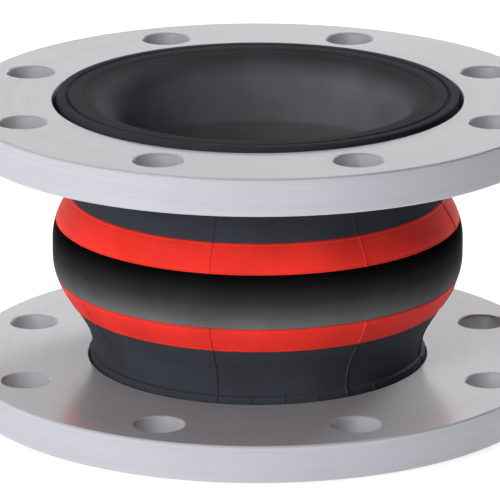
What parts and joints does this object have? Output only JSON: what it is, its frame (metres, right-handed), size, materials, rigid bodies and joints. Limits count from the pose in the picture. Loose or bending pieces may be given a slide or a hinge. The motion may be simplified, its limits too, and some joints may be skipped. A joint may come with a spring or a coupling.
{
  "type": "rubber expansion joint",
  "caption": "Single-arch rubber bellows pipe connector with raised red bands and loose steel flanges that swivel on its moulded collars.",
  "frame": {"origin": "centre of the lower rubber sealing face, on the pipe axis", "axes": "+Z along the pipe axis towards the upper flange; bolt holes lie half a step (22.5 degrees) either side of +X; the joint bends and offsets in the XZ plane"},
  "size_m": [0.285, 0.285, 0.15],
  "materials": {
    "flange_steel": "satin turned steel",
    "black_rubber": "semi-gloss moulded rubber",
    "red_rubber": "semi-gloss moulded rubber",
    "liner_rubber": "smooth moulded rubber",
    "cord_fabric": "rubberised cord fabric",
    "bead_wire": "drawn wire"
  },
  "bodies": {
    "bead_lower": {"lower_collar": "black_rubber", "lower_bead_core": "bead_wire", "lower_bead_wrap": "cord_fabric"},
    "neck_lower": {"lower_neck_cover": "black_rubber"},
    "arch_lower": {"lower_red_band": "red_rubber", "centre_band": "black_rubber", "inner_liner": "liner_rubber", "cord_ply_1": "cord_fabric", "cord_ply_2": "cord_fabric", "cord_ply_3": "cord_fabric", "cord_ply_4": "cord_fabric"},
    "arch_upper": {"upper_red_band": "red_rubber"},
    "neck_upper": {"upper_neck_cover": "black_rubber"},
    "bead_upper": {"upper_collar": "black_rubber", "upper_bead_core": "bead_wire", "upper_bead_wrap": "cord_fabric"},
    "loose_flange_lower": {"lower_flange": "flange_steel"},
    "loose_flange_upper": {"upper_flange": "flange_steel"}
  },
  "joints": [
    {"name": "lower_bend", "type": "hinge", "parent": "bead_lower", "child": "neck_lower", "pos_m": [0, 0, 0.0342], "axis": [0, 1, 0], "range_deg": [-7.5, 7.5], "stiffness_Nm_per_rad": 2400, "deforming": ["lower_neck_cover"]},
    {"name": "lower_offset", "type": "slide", "parent": "neck_lower", "child": "arch_lower", "axis": [1, 0, 0], "range_m": [-0.006, 0.006], "stiffness_N_per_m": 200000, "deforming": ["lower_red_band"]},
    {"name": "axial", "type": "slide", "parent": "arch_lower", "child": "arch_upper", "axis": [0, 0, 1], "range_m": [-0.012, 0.008], "stiffness_N_per_m": 75000, "deforming": ["centre_band", "inner_liner", "cord_ply_1", "cord_ply_2", "cord_ply_3", "cord_ply_4"]},
    {"name": "upper_offset", "type": "slide", "parent": "arch_upper", "child": "neck_upper", "axis": [1, 0, 0], "range_m": [-0.006, 0.006], "stiffness_N_per_m": 200000, "deforming": ["upper_red_band"]},
    {"name": "upper_bend", "type": "hinge", "parent": "neck_upper", "child": "bead_upper", "pos_m": [0, 0, 0.1158], "axis": [0, 1, 0], "range_deg": [-7.5, 7.5], "stiffness_Nm_per_rad": 2400, "deforming": ["upper_neck_cover"]},
    {"name": "lower_flange_swivel", "type": "hinge", "parent": "bead_lower", "child": "loose_flange_lower", "pos_m": [0, 0, 0.011], "axis": [0, 0, 1], "continuous": true},
    {"name": "upper_flange_swivel", "type": "hinge", "parent": "bead_upper", "child": "loose_flange_upper", "pos_m": [0, 0, 0.139], "axis": [0, 0, 1], "continuous": true}
  ],
  "couplings": [
    {"joint": "upper_bend", "follows": "lower_bend", "ratio": 1},
    {"joint": "upper_offset", "follows": "lower_offset", "ratio": 1}
  ]
}
